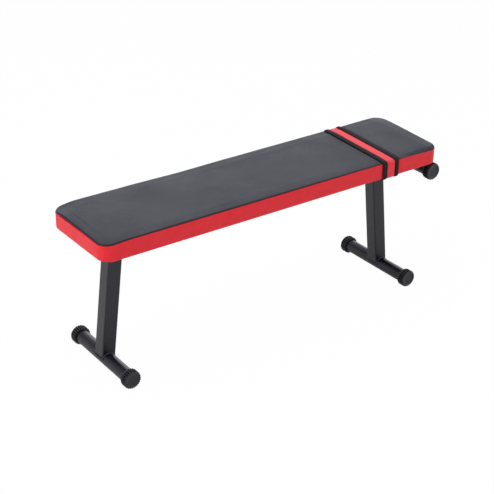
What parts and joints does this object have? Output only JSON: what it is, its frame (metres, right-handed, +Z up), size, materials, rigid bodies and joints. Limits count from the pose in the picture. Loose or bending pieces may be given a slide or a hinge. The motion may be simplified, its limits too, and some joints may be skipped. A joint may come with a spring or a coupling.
{
  "type": "folding flat weight bench",
  "caption": "Flat weight bench: a padded board on steel rails, a folding leg under each end with a ribbed-cap foot, and a round stand bar below one end.",
  "frame": {"origin": "on the floor, below the middle of the bench's overall length and width", "axes": "+Z up; X along the bench, with the banded end and its stand bar at +X; +Y across it, toward the side with the clamp knobs"},
  "size_m": [1.12, 0.284, 0.432],
  "materials": {
    "plywood": "bare plywood",
    "foam": "open-cell upholstery foam",
    "black_vinyl": "satin black vinyl with a fine grain",
    "red_vinyl": "satin red vinyl with a fine grain",
    "red_webbing": "woven red webbing",
    "black_webbing": "woven black webbing",
    "black_paint": "satin black powder coat",
    "black_plastic": "moulded matt black",
    "cap_rubber": "moulded matt black rubber",
    "zinc_steel": "zinc plated",
    "brass": "turned brass",
    "nylon": "natural nylon"
  },
  "bodies": {
    "frame": {"pad_board": "plywood", "pad_foam": "foam", "top_cover": "black_vinyl", "side_cover": "red_vinyl", "band_middle": "red_webbing", "band_edge_near_end": "black_webbing", "band_edge_far_end": "black_webbing", "front_rail": "black_paint", "back_rail": "black_paint", "rail_plugs": "black_plastic", "left_strap": "black_paint", "middle_strap": "black_paint", "right_strap": "black_paint", "pad_bolts": "zinc_steel", "pad_washers": "zinc_steel", "tee_nuts": "zinc_steel", "end_bar": "black_paint", "end_bar_front_cap": "cap_rubber", "end_bar_back_cap": "cap_rubber", "left_hinge_bracket": "black_paint", "right_hinge_bracket": "black_paint", "left_hinge_bolt": "zinc_steel", "right_hinge_bolt": "zinc_steel", "left_clamp_washer": "zinc_steel", "right_clamp_washer": "zinc_steel"},
    "left_leg": {"left_leg_tube": "black_paint", "left_foot_tube": "black_paint", "left_front_foot_cap": "cap_rubber", "left_back_foot_cap": "cap_rubber", "left_pivot_sleeve": "zinc_steel", "left_leg_plug": "black_plastic", "left_glide_washers": "nylon"},
    "right_leg": {"right_leg_tube": "black_paint", "right_foot_tube": "black_paint", "right_front_foot_cap": "cap_rubber", "right_back_foot_cap": "cap_rubber", "right_pivot_sleeve": "zinc_steel", "right_leg_plug": "black_plastic", "right_glide_washers": "nylon"},
    "left_knob": {"left_clamp_knob": "black_plastic", "left_knob_insert": "brass"},
    "right_knob": {"right_clamp_knob": "black_plastic", "right_knob_insert": "brass"}
  },
  "joints": [
    {"name": "left_leg_fold", "type": "hinge", "parent": "frame", "child": "left_leg", "pos_m": [-0.46147, 0, 0.333], "axis": [0, -1, 0], "range_deg": [0, 95]},
    {"name": "right_leg_fold", "type": "hinge", "parent": "frame", "child": "right_leg", "pos_m": [0.41446, 0, 0.333], "axis": [0, 1, 0], "range_deg": [0, 95]},
    {"name": "left_knob_turn", "type": "hinge", "parent": "frame", "child": "left_knob", "pos_m": [-0.46147, 0.05, 0.333], "axis": [0, 1, 0], "range_deg": [0, 360]},
    {"name": "right_knob_turn", "type": "hinge", "parent": "frame", "child": "right_knob", "pos_m": [0.41446, 0.05, 0.333], "axis": [0, 1, 0], "range_deg": [0, 360]}
  ]
}
